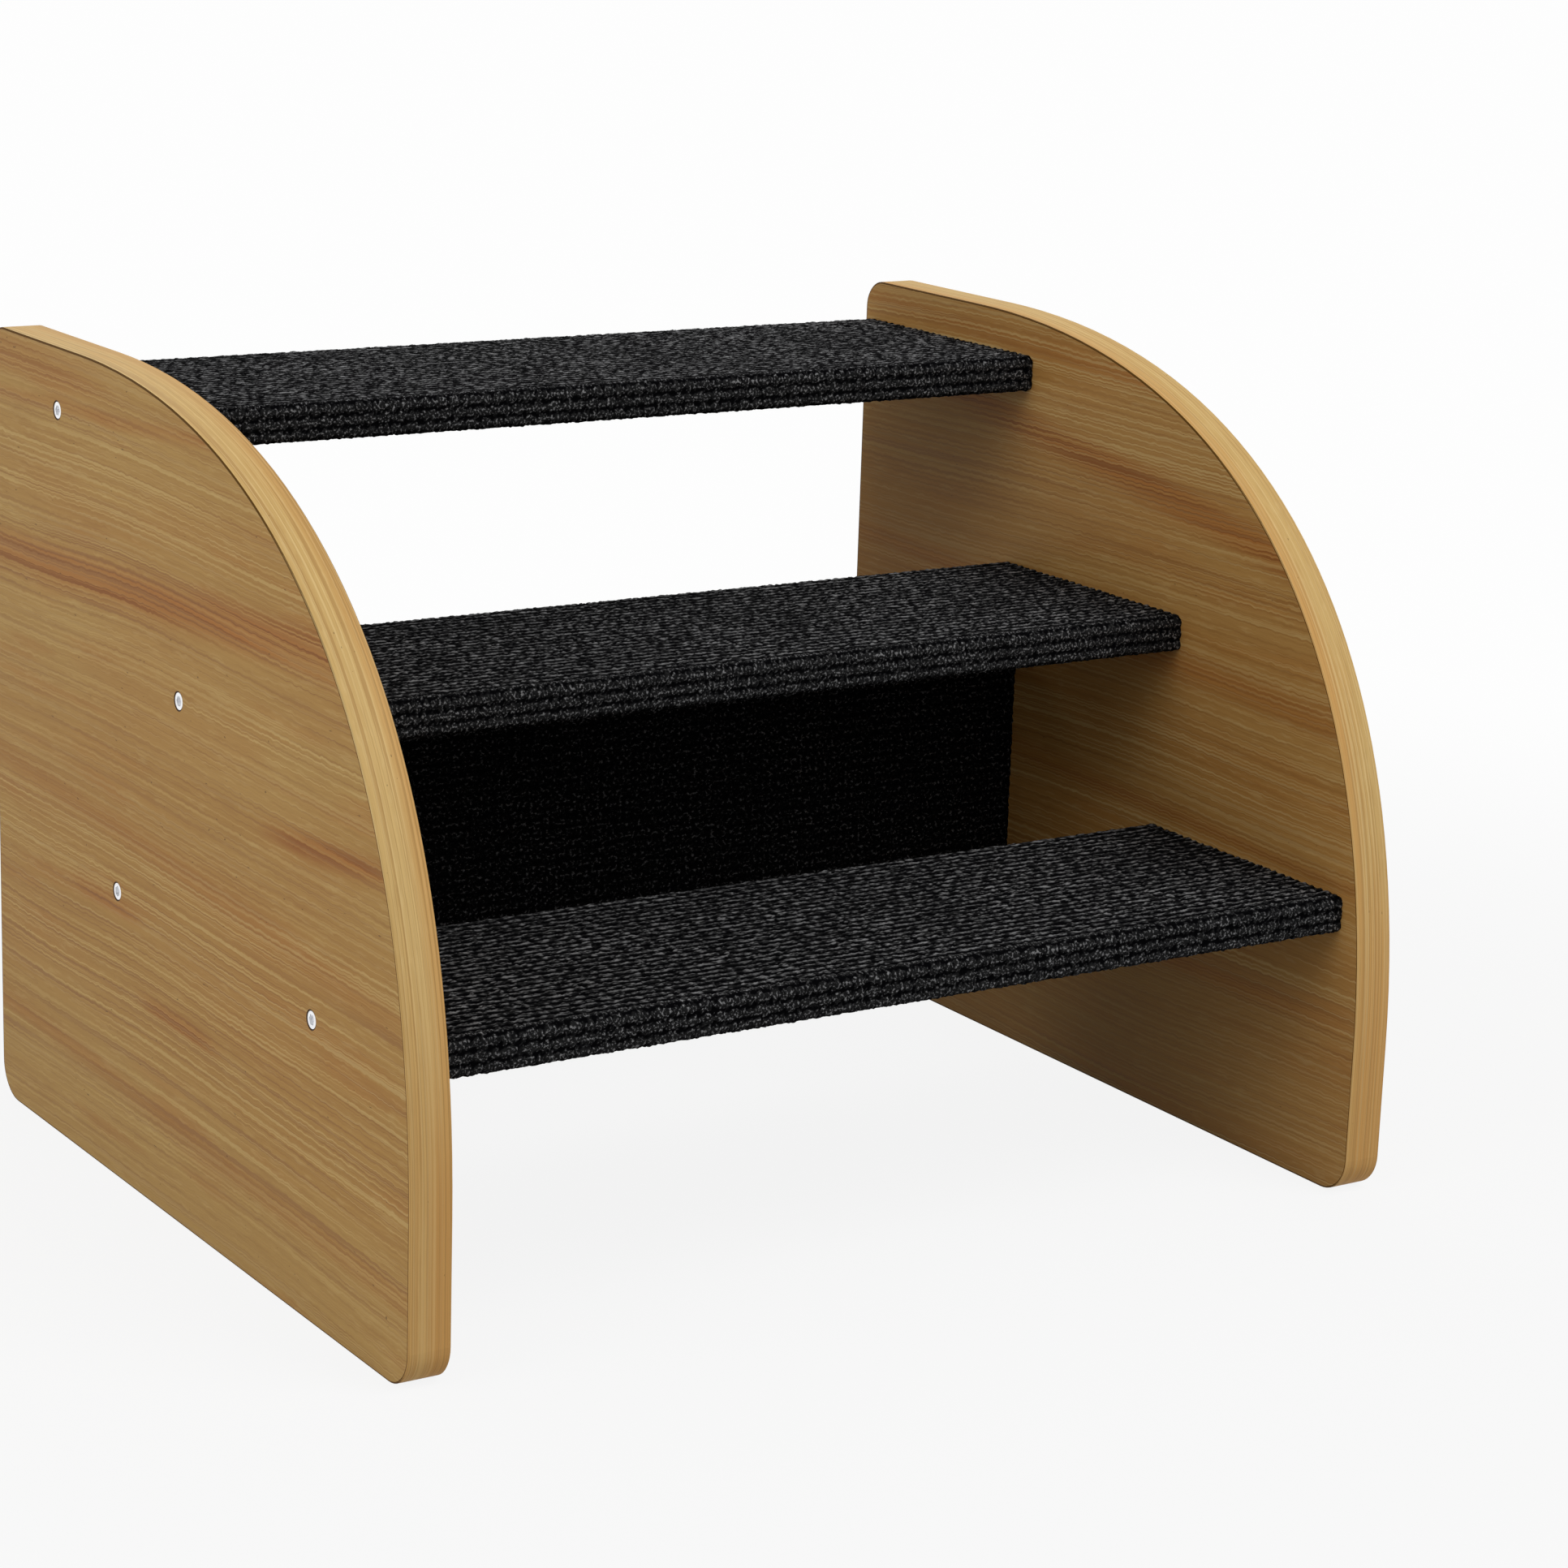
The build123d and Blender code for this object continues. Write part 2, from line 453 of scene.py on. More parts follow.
@dataclass(frozen=True)
class Finish:
    """A finish, which feeds the Principled BSDF of each material made from it."""

    def shader(self, graph: Graph) -> Inputs:
        """Inputs of the Principled BSDF, made in a material's graph."""
        raise NotImplementedError

    def material(self, name: str) -> Material:
        """Make a material.

        Args:
            name: name of the material.

        Returns:
            The material.
        """
        material = bpy.data.materials.new(name)
        material.use_nodes = True
        graph = Graph(material.node_tree)
        graph.feed(material.node_tree.nodes["Principled BSDF"], self.shader(graph))
        return material


@dataclass(frozen=True)
class Streak:
    """A reddish heart streak along a panel's face.

    Its height is taken at its middle, its lean is its rise per length to the back, and it fades out
    over its reach to both sides of the middle.
    """

    height: float
    half_width: float
    strength: float
    lean: float = 0.0
    middle: float = 0.0
    reach: float = 400 * MM
    core_share: float = 0.1
    full_share: float = 0.3

    def mask(self, graph: Graph, run: Socket, height: Socket) -> Socket:
        """Make the streak's mask.

        Args:
            graph: the material's graph.
            run: place along the grain.
            height: place across the grain, with the streaks' wander.

        Returns:
            The mask, up to the streak's strength.
        """
        line = graph.scaled(run, self.lean, self.height - self.lean * self.middle)
        away = graph.math("ABSOLUTE", graph.math("SUBTRACT", height, line))
        core = self.core_share * self.half_width
        across = graph.band(away, core, self.half_width, self.strength, 0.0)
        past = graph.math("ABSOLUTE", graph.math("SUBTRACT", run, self.middle))
        return graph.times(across, graph.band(past, self.full_share * self.reach, self.reach, 1.0, 0.0))


@dataclass(frozen=True)
class PanelLook:
    """One panel's print: its offset, its lean to the heart colour, partly painted shade, and its heart
    streaks.
    """

    shift: float
    warmth_and_shade: float
    streaks: tuple[Streak, ...]


@dataclass(frozen=True)
class LaminateFinish(Finish):
    """Satin wood-print laminate on a board whose cut holes show the raw core, darkened by painted
    shade.
    """

    groups: ShaderGroups
    look: PanelLook
    base: Colour = (0.43, 0.263, 0.079)
    tone: Colour = (0.4, 0.226, 0.062)
    dark: Colour = (0.25, 0.105, 0.024)
    light: Colour = (0.6, 0.43, 0.18)
    heart: Colour = (0.37, 0.145, 0.03)
    # The raw core's colour, made dark as painted shade inside the holes and countersinks.
    core: Colour = (0.06, 0.028, 0.012)
    heart_fineness: float = 210.0
    heart_lines: float = 0.9
    layer_change: float = 7.0
    wander: float = 7 * MM
    wander_fineness: Pair = (5.0, 9.0)
    wander_layer: float = 4.0
    face_steps: Pair = (0.8, 0.95)
    roughness: float = 0.55
    line_roughness: float = 0.12
    specular: float = 0.15
    bump: float = 0.1
    bump_distance: float = 0.2 * MM

    def _zone(self, graph: Graph, run: Socket, rise: Socket) -> Socket:
        """Make the mask of the heart streaks.

        Args:
            graph: the material's graph.
            run: place along the grain.
            rise: place across the grain.

        Returns:
            The mask, up to each streak's strength.
        """
        along, across = self.wander_fineness
        place = graph.place(graph.scaled(run, along), graph.scaled(rise, across), self.wander_layer)
        drift = graph.scaled(graph.noise(place), self.wander, -self.wander / 2)
        height = graph.math("ADD", rise, drift)
        zone = 0.0
        for streak in self.look.streaks:
            zone = graph.math("MAXIMUM", zone, streak.mask(graph, run, height))
        return zone

    def shader(self, graph: Graph) -> Inputs:
        """Print the panel's figure.

        Args:
            graph: the material's graph.

        Returns:
            The shader's inputs.
        """
        look = self.look
        out, run, rise = graph.axes(graph.frame_place())
        figure = graph.group(
            self.groups.figure,
            {
                "Vector": graph.place(run, rise, graph.scaled(out, self.layer_change, look.shift)),
                # The lean to the heart colour is partly painted shade, which darkens and reddens a
                # whole panel.
                "Base": between(self.base, self.heart, look.warmth_and_shade),
                "Tone": between(self.tone, self.heart, look.warmth_and_shade),
                "Dark": self.dark,
                "Light": self.light,
                "Heart": self.heart,
                "Heart Zone": self._zone(graph, run, rise),
                "Heart Fineness": self.heart_fineness,
                "Heart Lines": self.heart_lines,
            },
        )
        colour, height = figure.outputs
        return {
            # Faces that do not face sideways show the core: partly its own colour, partly painted
            # shade.
            "Base Color": graph.mix(graph.facing(0, self.face_steps), self.core, colour),
            "Roughness": graph.scaled(height, self.line_roughness, self.roughness),
            "Normal": graph.bump(height, self.bump, self.bump_distance),
            "Specular IOR Level": self.specular,
        }


@dataclass(frozen=True)
class EdgeBandFinish(Finish):
    """Wood-print edge band with lines along its length, and painted shade on its chamfer beside the
    faces.
    """

    groups: ShaderGroups
    shift: float
    base: Colour = (0.7, 0.48, 0.193)
    tone: Colour = (0.65, 0.43, 0.163)
    dark: Colour = (0.43, 0.24, 0.08)
    light: Colour = (0.82, 0.62, 0.3)
    heart: Colour = (0.64, 0.345, 0.11)
    # Painted shade: the dark colour laid on the chamfer beside the faces, where shadow falls.
    chamfer_shade: Colour = (0.1, 0.045, 0.006)
    heart_lines: float = 0.25
    line_spread: float = 0.75
    bend: float = 0.15
    across_scale: float = 1.25
    layer_change: float = 0.6
    inner_from: float = 217 * MM
    inner_to: float = 226 * MM
    inner_warmth: float = 0.7
    # Painted shade: the band turns darker and warmer near the floor.
    floor_shade_from: float = 60 * MM
    floor_shade_to: float = 190 * MM
    floor_shade_warmth: float = 0.9
    print_line_place: float = 229.3 * MM
    print_line_width: float = 0.35 * MM
    print_line_core: float = 0.3
    print_line_share: float = 0.55
    break_fineness: float = 25.0
    break_steps: Pair = (0.3, 0.6)
    rim_steps: Pair = (0.45, 0.7)
    front_steps: Pair = (-0.68, -0.3)
    front_shade_share: float = 0.1
    roughness: float = 0.55
    line_roughness: float = 0.1
    specular: float = 0.06
    bump: float = 0.08
    bump_distance: float = 0.2 * MM

    def _warmth_and_shade(self, graph: Graph, outward: Socket, height: Socket) -> Socket:
        """Make the mask of the warmer print along the inner edge, and of painted shade near the floor.

        Args:
            graph: the material's graph.
            outward: distance from the middle of the stairs.
            height: height over the floor.

        Returns:
            The mask.
        """
        inner = graph.band(outward, self.inner_from, self.inner_to, self.inner_warmth, 0.0)
        # Painted shade near the floor, in the heart colour.
        low = graph.band(height, self.floor_shade_from, self.floor_shade_to, self.floor_shade_warmth, 0.0)
        return graph.math("MAXIMUM", inner, low)

    def _print_line(self, graph: Graph, outward: Socket, length: Socket) -> Socket:
        """Make the mask of the one broken dark line near the outer edge.

        Args:
            graph: the material's graph.
            outward: distance from the middle of the stairs.
            length: place along the band.

        Returns:
            The mask.
        """
        away = graph.math("ABSOLUTE", graph.math("SUBTRACT", outward, self.print_line_place))
        core = self.print_line_core * self.print_line_width
        thin = graph.band(away, core, self.print_line_width, 1.0, 0.0)
        breaks = graph.noise(graph.place(graph.scaled(length, self.break_fineness), 0.0, 0.0))
        whole = graph.band(breaks, *self.break_steps)
        return graph.scaled(graph.times(thin, whole), self.print_line_share)

    def shader(self, graph: Graph) -> Inputs:
        """Print the band's figure.

        Args:
            graph: the material's graph.

        Returns:
            The shader's inputs.
        """
        out, back, height = graph.axes(graph.frame_place())
        length = graph.math("ADD", back, height)
        outward = graph.math("ABSOLUTE", out)
        across = graph.scaled(out, self.across_scale)
        layer = graph.scaled(length, self.layer_change, self.shift)
        figure = graph.group(
            self.groups.figure,
            {
                "Vector": graph.place(length, across, layer),
                "Base": self.base,
                "Tone": self.tone,
                "Dark": self.dark,
                "Light": self.light,
                "Heart": self.heart,
                "Heart Zone": self._warmth_and_shade(graph, outward, height),
                "Heart Lines": self.heart_lines,
                "Line Spread": self.line_spread,
                "Bend": self.bend,
            },
        )
        colour, relief = figure.outputs
        colour = graph.mix(self._print_line(graph, outward, length), colour, self.dark)
        # Painted shade on the chamfer beside the faces, weaker where the chamfer faces the front.
        front = graph.band(graph.normal(1), *self.front_steps, self.front_shade_share, 1.0)
        chamfer_shade_mask = graph.times(graph.facing(0, self.rim_steps), front)
        return {
            "Base Color": graph.mix(chamfer_shade_mask, colour, self.chamfer_shade),
            "Roughness": graph.scaled(relief, self.line_roughness, self.roughness),
            "Normal": graph.bump(relief, self.bump, self.bump_distance),
            "Specular IOR Level": self.specular,
        }


@dataclass(frozen=True)
class Speckle(Marks):
    """Flecks in the yarn, and the pile height shares they fade in between; lower pile is painted shade.
    """

    lit_crest: Pair


@dataclass(frozen=True)
class CarpetFinish(Finish):
    """Charcoal loop pile: near-black yarn whose loops carry pale flecks.

    The closed rows on a tread's top have long dashes, and the open tufts have small specks.
    """

    groups: ShaderGroups
    yarn: Colour = (0.0025, 0.0025, 0.003)
    body: Colour = (0.016, 0.016, 0.0163)
    fleck: Colour = (0.25, 0.25, 0.254)
    dash: Speckle = Speckle(along=250.0, across=640.0, steps=(0.43, 0.67), lit_crest=(0.44, 0.86))
    speck: Speckle = Speckle(along=900.0, across=900.0, steps=(0.51, 0.68), lit_crest=(0.32, 0.74))
    roughness: float = 0.95
    crest_roughness: float = -0.1
    specular: float = 0.0
    bump: float = 0.5
    bump_distance: float = 0.4 * MM

    def _flecks(self, graph: Graph, place: Socket, share: Socket, speckle: Speckle) -> Node:
        """Place the flecks of one kind.

        Args:
            graph: the material's graph.
            place: place on the flat cloth.
            share: height share of the pile.
            speckle: the kind of fleck.

        Returns:
            The group node.
        """
        return graph.group(
            self.groups.flecks,
            {
                **speckle.inputs(),
                "Vector": place,
                "Lit Crest": graph.band(share, *speckle.lit_crest),
                "Yarn": self.yarn,
                "Body": self.body,
                "Fleck": self.fleck,
            },
        )

    def shader(self, graph: Graph) -> Inputs:
        """Colour the pile.

        Args:
            graph: the material's graph.

        Returns:
            The shader's inputs.
        """
        place = graph.node("ShaderNodeAttribute", attribute_name=PILE_PLACE).outputs["Vector"]
        tuft = graph.node("ShaderNodeAttribute", attribute_name=PILE_TUFT).outputs["Fac"]
        share = graph.axes(place)[2]
        dashes = self._flecks(graph, place, share, self.dash)
        specks = self._flecks(graph, place, share, self.speck)
        return {
            "Base Color": graph.mix(tuft, dashes.outputs["Color"], specks.outputs["Color"]),
            "Roughness": graph.scaled(share, self.crest_roughness, self.roughness),
            "Normal": graph.bump(specks.outputs["Height"], self.bump, self.bump_distance),
            "Specular IOR Level": self.specular,
        }


@dataclass(frozen=True)
class SteelFinish(Finish):
    """Bright zinc-plated steel with faint turning marks."""

    base: Colour = (0.97, 0.97, 0.98)
    worn: Colour = (0.86, 0.87, 0.89)
    marks: Triple = (300.0, 2600.0, 2600.0)
    worn_steps: Pair = (0.3, 0.8)
    rough_steps: Pair = (0.2, 0.8)
    roughness: Pair = (0.3, 0.45)
    bump: float = 0.1
    bump_distance: float = 0.05 * MM

    def shader(self, graph: Graph) -> Inputs:
        """Draw the turning marks.

        Args:
            graph: the material's graph.

        Returns:
            The shader's inputs.
        """
        marks = graph.noise(graph.stretched(graph.frame_place(), self.marks))
        worn = graph.band(marks, *self.worn_steps)
        return {
            "Base Color": graph.mix(worn, self.base, self.worn),
            "Roughness": graph.band(marks, *self.rough_steps, *self.roughness),
            "Normal": graph.bump(marks, self.bump, self.bump_distance),
            "Metallic": 1.0,
        }


@dataclass(frozen=True)
class RawWoodFinish(Finish):
    """Bare wood or fibreboard with a fine grain along one axis."""

    base: Colour
    dark: Colour
    grain: Triple = (120.0, 900.0, 900.0)
    octaves: float = 3.0
    octave_roughness: float = 0.6
    dark_steps: Pair = (0.35, 0.7)
    roughness: float = 0.8
    fibre_roughness: float = 0.1
    bump: float = 0.2
    bump_distance: float = 0.2 * MM

    def shader(self, graph: Graph) -> Inputs:
        """Draw the grain.

        Args:
            graph: the material's graph.

        Returns:
            The shader's inputs.
        """
        place = graph.stretched(graph.frame_place(), self.grain)
        fibre = graph.noise(place, self.octaves, self.octave_roughness)
        dark = graph.band(fibre, *self.dark_steps)
        return {
            "Base Color": graph.mix(dark, self.base, self.dark),
            "Roughness": graph.scaled(fibre, self.fibre_roughness, self.roughness),
            "Normal": graph.bump(fibre, self.bump, self.bump_distance),
        }


def dress(node: str, material: Material) -> None:
    """Give a carried-over node its material.

    Args:
        node: name of the node.
        material: the new material.
    """
    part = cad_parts[node]
    part.data.materials.clear()
    part.data.materials.append(material)
    LOG.info("%s wears %s", node, material.name)


@dataclass(frozen=True)
class LoopPile:
    """Rows of looped yarn, and how unevenly they stand.

    Each pair by_tuft is the value of closed rows and what open tufts add to it.
    """

    height: float = 1.25 * MM
    row_pitch: float = 5.0 * MM
    loop_pitch: float = 2.7 * MM
    sway: float = 0.065
    sway_by_tuft: Pair = (0.85, 0.15)
    sway_waves: int = 10
    sway_around: Pair = (300.0, 1400.0)
    sway_along: Pair = (500.0, 2200.0)
    slant: float = 0.25
    row_power_by_tuft: Pair = (0.9, -0.3)
    loop_power: float = 0.7
    gap_by_tuft: Pair = (0.25, 0.25)
    tallness: Pair = (0.8, 1.06)
    tallness_count: int = 4096
    phases_per_row: int = 4
    loop_prime: int = 7919
    row_prime: int = 104729
    tuft_fade_rows: float = 0.8


@dataclass
class CarpetedBoard:
    """The carpet of one board: a backing and rows of loops, wrapped once round it."""

    name: str
    pose: BoardPose
    seed: int
    pile: LoopPile = LoopPile()
    backing: float = 1.2 * MM
    corner: float = 2.0 * MM
    seam: float = 1.0 * MM
    board_gap: float = 0.02 * MM
    fine_step: float = 0.85 * MM
    hidden_step: float = 1.5 * MM
    along_step: float = 0.9 * MM
    tolerance: float = 1e-9
    centre: Vector = field(init=False)
    depth: float = field(init=False)
    thickness: float = field(init=False)
    length: float = field(init=False)

    def __post_init__(self) -> None:
        """Read the board's place and size from the frame."""
        low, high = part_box(f"{self.name}_board")
        self.centre = (low + high) / 2
        size = high - low
        self.length = size.x
        upright = self.pose is BoardPose.UPRIGHT
        self.depth = size.z if upright else size.y
        self.thickness = size.y if upright else size.z

    @property
    def wide(self) -> float:
        """Depth over the backing."""
        return self.depth + 2 * self.backing

    @property
    def high(self) -> float:
        """Thickness over the backing."""
        return self.thickness + 2 * self.backing

    @property
    def quarter(self) -> float:
        """Length round one corner of the backing."""
        return math.pi / 2 * self.corner

    @property
    def girth(self) -> float:
        """Length round the backing."""
        around = 2 * (self.depth + self.thickness + 4 * self.backing)
        return around - (8 - 2 * math.pi) * self.corner

    def _section(self, distance: Array, height: Array) -> tuple[Array, Array]:
        """Find points over the backing, in the section plane of the board.

        Args:
            distance: distance round the backing from its lower nose corner.
            height: height over the board's surface, the backing included.

        Returns:
            The points' places to the back and up from the board's centre.
        """
        away = np.zeros_like(distance)
        up = np.zeros_like(distance)
        start = 0.0
        for side in range(4):
            heading = math.radians(90 - 90 * side)
            outward = heading + math.pi / 2
            along, out = (self.high, self.wide) if side % 2 == 0 else (self.wide, self.high)
            straight = along - 2 * self.corner
            length = straight + self.quarter
            here = (distance >= start) & (distance <= start + length + self.tolerance)
            travel = np.minimum(distance - start, straight) - straight / 2
            turned = outward - np.maximum(distance - start - straight, 0) / self.corner
            reach = out / 2 - self.corner
            radius = self.corner - self.backing + height
            x = travel * math.cos(heading) + reach * math.cos(outward) + radius * np.cos(turned)
            y = travel * math.sin(heading) + reach * math.sin(outward) + radius * np.sin(turned)
            away = np.where(here, x, away)
            up = np.where(here, y, up)
            start += length
        return away, up

    def _stations(self) -> Array:
        """Choose the distances round the board where the pile's mesh has its rows.

        Returns:
            Rising distances from one side of the seam round to the other.
        """
        seam_at = self.girth - (self.wide - 2 * self.corner) / 2 - self.quarter
        first = seam_at - self.girth + self.seam / 2
        last = seam_at - self.seam / 2
        shown_from = -self.quarter - self.pile.row_pitch
        shown_to = self.high - 2 * self.corner + self.quarter + self.wide
        before = stations(first, shown_from, self.hidden_step)[:-1]
        shown = stations(shown_from, shown_to, self.fine_step)
        after = stations(shown_to, last, self.hidden_step)[1:]
        return np.concatenate([before, shown, after])

    def _tuft(self, distance: Array) -> Array:
        """Find the share of open tufts: full on an upright board and a tread's nose, none on its top.

        Args:
            distance: distance round the board, one per mesh row.

        Returns:
            Shares from 0 to 1.
        """
        if self.pose is BoardPose.UPRIGHT:
            return np.ones_like(distance)
        past = np.maximum(distance - self.high, -distance - self.pile.row_pitch)
        return 1 - np.clip(past / (self.pile.tuft_fade_rows * self.pile.row_pitch), 0, 1)

    def _relief(self, distance: Array, along: Array, tuft: Array) -> Array:
        """Make the height of the looped rows, as a share of the pile.

        Args:
            distance: distance round the board, one per mesh row.
            along: place along the board, one per mesh column.
            tuft: share of open tufts, one per mesh row.

        Returns:
            Shares from 0 in the valleys to about 1 on the loops.
        """
        pile = self.pile
        rng = np.random.default_rng(self.seed)
        rows = round(self.girth / pile.row_pitch)
        pitch = self.girth / rows
        nose_middle = (self.high - 2 * self.corner) / 2

        def by_tuft(values: Pair) -> Array:
            """The value of each mesh row, by its share of open tufts."""
            return values[0] + values[1] * tuft[:, None]

        waves = np.zeros((len(distance), len(along)))
        for _ in range(pile.sway_waves):
            turn = rng.uniform(0, 2 * math.pi, 2)
            around = np.sin(distance[:, None] * rng.uniform(*pile.sway_around) + turn[0])
            waves += around * np.sin(along[None, :] * rng.uniform(*pile.sway_along) + turn[1])
        sway = pile.sway * by_tuft(pile.sway_by_tuft)
        place = (distance[:, None] - nose_middle) / pitch + sway * waves
        row = np.rint(place).astype(int)
        across = np.abs(np.cos(math.pi * (place - row))) ** by_tuft(pile.row_power_by_tuft)
        phases = pile.phases_per_row * rows
        phase = rng.uniform(0, 1, phases)[row % phases]
        slant = pile.slant * np.sin(2 * math.pi * (place - row))
        loop_at = along[None, :] / pile.loop_pitch + phase + slant
        loop = np.abs(np.sin(math.pi * loop_at)) ** pile.loop_power
        which = np.floor(loop_at).astype(int) * pile.loop_prime + row * pile.row_prime
        tall = rng.uniform(*pile.tallness, pile.tallness_count)[which % pile.tallness_count]
        gap = by_tuft(pile.gap_by_tuft)
        return across * (1 - gap + gap * loop) * tall

    def _carpet(self) -> bpy.types.Object:
        """Build the closed carpet sleeve.

        Returns:
            The carpet object.
        """
        distance = self._stations()
        along = stations(-self.length / 2, self.length / 2, self.along_step)
        tuft = self._tuft(distance)
        share = self._relief(distance, along, tuft)
        around = np.repeat(distance[:, None] % self.girth, len(along), axis=1)
        away, up = self._section(around, self.backing + self.pile.height * share)
        outer = np.stack([np.repeat(along[None, :], len(distance), axis=0), away, up], axis=2)
        away, up = self._section(around[:, :2], np.full((len(distance), 2), self.board_gap))
        inner = np.stack([np.repeat(along[None, [0, -1]], len(distance), axis=0), away, up], axis=2)
        points = np.concatenate([outer.reshape(-1, 3), inner.reshape(-1, 3)])
        if self.pose is BoardPose.UPRIGHT:
            points = np.stack([points[:, 0], -points[:, 2], points[:, 1]], axis=1)
        points = points + np.array(self.centre)
        mesh = bpy.data.meshes.new(f"{self.name}_pile")
        mesh.from_pydata(points.tolist(), [], self._faces(len(distance), len(along)))
        self._record(mesh, distance, along, share, tuft)
        mesh.validate()
        for polygon in mesh.polygons:
            polygon.use_smooth = len(polygon.vertices) == 4
        carpet = bpy.data.objects.new(f"{self.name}_pile", mesh)
        bpy.context.scene.collection.objects.link(carpet)
        return carpet

    @staticmethod
    def _faces(rows: int, columns: int) -> list[tuple[int, ...]]:
        """List the sleeve's faces: the pile, the flat inside, the two ends and the two seam edges.

        Args:
            rows: number of mesh rows round the board.
            columns: number of mesh columns along the board.

        Returns:
            Vertex numbers of each face.
        """
        grid = np.arange(rows * columns).reshape(rows, columns)
        inside = rows * columns + np.arange(rows * 2).reshape(rows, 2)
        corners = (grid[:-1, :-1], grid[:-1, 1:], grid[1:, 1:], grid[1:, :-1])
        faces = np.stack([corner.ravel() for corner in corners], axis=1).tolist()
        for row in range(rows - 1):
            left, right = inside[row]
            next_left, next_right = inside[row + 1]
            faces.append((left, next_left, next_right, right))
            faces.append((grid[row, 0], grid[row + 1, 0], next_left, left))
            faces.append((grid[row + 1, -1], grid[row, -1], right, next_right))
        faces.append((*grid[0, ::-1], inside[0, 0], inside[0, 1]))
        faces.append((*grid[-1], inside[-1, 1], inside[-1, 0]))
        return faces

    @staticmethod
    def _record(
        mesh: bpy.types.Mesh, distance: Array, along: Array, share: Array, tuft: Array
    ) -> None:
        """Store each point's place on the flat cloth, its pile height and its tuft share.

        Args:
            mesh: the carpet's mesh.
            distance: distance round the board of each mesh row.
            along: place along the board of each mesh column.
            share: height share of each outer point.
            tuft: tuft share of each mesh row.
        """
        run, around = np.meshgrid(along, distance)
        outer = np.stack([run, around, share], axis=2).reshape(-1, 3)
        run, around = np.meshgrid(along[[0, -1]], distance)
        inner = np.stack([run, around, np.zeros_like(run)], axis=2).reshape(-1, 3)
        places = mesh.attributes.new(PILE_PLACE, "FLOAT_VECTOR", "POINT")
        places.data.foreach_set("vector", np.concatenate([outer, inner]).astype(np.float32).ravel())
        shares = np.concatenate([np.repeat(tuft, len(along)), np.repeat(tuft, 2)])
        tufts = mesh.attributes.new(PILE_TUFT, "FLOAT", "POINT")
        tufts.data.foreach_set("value", shares.astype(np.float32))

    def build(self, carpet: Material) -> None:
        """Args:
            carpet: the carpet's material.
        """
        piece = self._carpet()
        piece.data.materials.append(carpet)
        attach(piece, BODY)
        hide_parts(f"{self.name}_carpet")
        LOG.info("%s has %d faces", piece.name, len(piece.data.polygons))


@dataclass
class SidePanels:
    """The two curved side panels with their edge bands."""

    groups: ShaderGroups
    left: PanelLook = PanelLook(
        shift=3.1,
        warmth_and_shade=0.04,
        streaks=(
            Streak(258 * MM, 14 * MM, 1.0, -0.05),
            Streak(327 * MM, 5 * MM, 0.45, -0.05),
            Streak(336 * MM, 14 * MM, 0.5, 0.0, 150 * MM, 110 * MM),
            Streak(86 * MM, 6 * MM, 0.9, 0.0, 8 * MM, 50 * MM),
            Streak(192 * MM, 7 * MM, 0.9, -0.07, -130 * MM, 70 * MM),
            Streak(119 * MM, 6 * MM, 0.8, 0.0, 77 * MM, 45 * MM),
            Streak(150 * MM, 9 * MM, 0.3, 0.05),
            Streak(40 * MM, 8 * MM, 0.35, 0.03),
        ),
    )
    right: PanelLook = PanelLook(
        shift=11.7,
        # The right panel's strong lean is painted shade: the darker, redder light on its inner face.
        warmth_and_shade=0.35,
        streaks=(
            Streak(285 * MM, 12 * MM, 0.9, 0.15),
            Streak(328 * MM, 6 * MM, 0.4, 0.05),
            Streak(212 * MM, 10 * MM, 0.5, 0.06),
            Streak(140 * MM, 9 * MM, 0.45, 0.03),
            Streak(70 * MM, 12 * MM, 0.5, -0.04),
        ),
    )

    def dress(self) -> None:
        """Give panels and bands their finishes."""
        for side, look in ((Side.LEFT, self.left), (Side.RIGHT, self.right)):
            laminate = LaminateFinish(self.groups, look).material(f"{side.value}_laminate")
            banding = EdgeBandFinish(self.groups, look.shift).material(f"{side.value}_banding")
            dress(f"{side.value}_side_panel", laminate)
            dress(f"{side.value}_edge_band", banding)


@dataclass
class Fasteners:
    """The connector screws and the dowels, by the board that they hold."""

    boards: tuple[str, ...]
    steel: SteelFinish
    beech: RawWoodFinish

    def dress(self) -> None:
        """Give screws and dowels their finishes."""
        steel = self.steel.material("screw_zinc")
        beech = self.beech.material("dowel_beech")
        for side in Side:
            for board in self.boards:
                dress(f"{side.value}_{board}_screw", steel)
                dress(f"{side.value}_{board}_dowels", beech)


@dataclass
class Camera:
    """The photograph's viewpoint."""

    eye: Triple = (-0.8775, -1.4213, 0.5942)
    heading: float = 33.13
    dip: float = 14.48
    roll: float = 1.91
    focal_pixels: float = 4951.0
    frame_pixels: float = 1932.0
    sensor: float = 36.0
    clip_end: float = 50.0

    def build(self) -> None:
        """Create the camera and make it the scene's."""
        heading, dip, roll = (math.radians(a) for a in (self.heading, self.dip, self.roll))
        forward = Vector(
            (math.sin(heading) * math.cos(dip), math.cos(heading) * math.cos(dip), -math.sin(dip))
        )
        level = forward.cross(Vector((0, 0, 1))).normalized()
        up = level.cross(forward)
        right = level * math.cos(roll) + up * math.sin(roll)
        top = right.cross(forward)
        data = bpy.data.cameras.new("camera")
        data.sensor_width = self.sensor
        data.lens = self.focal_pixels * self.sensor / self.frame_pixels
        data.clip_end = self.clip_end
        camera = bpy.data.objects.new("camera", data)
        turned = Matrix((right, top, -forward)).transposed().to_4x4()
        camera.matrix_world = Matrix.Translation(self.eye) @ turned
        bpy.context.scene.collection.objects.link(camera)
        bpy.context.scene.camera = camera


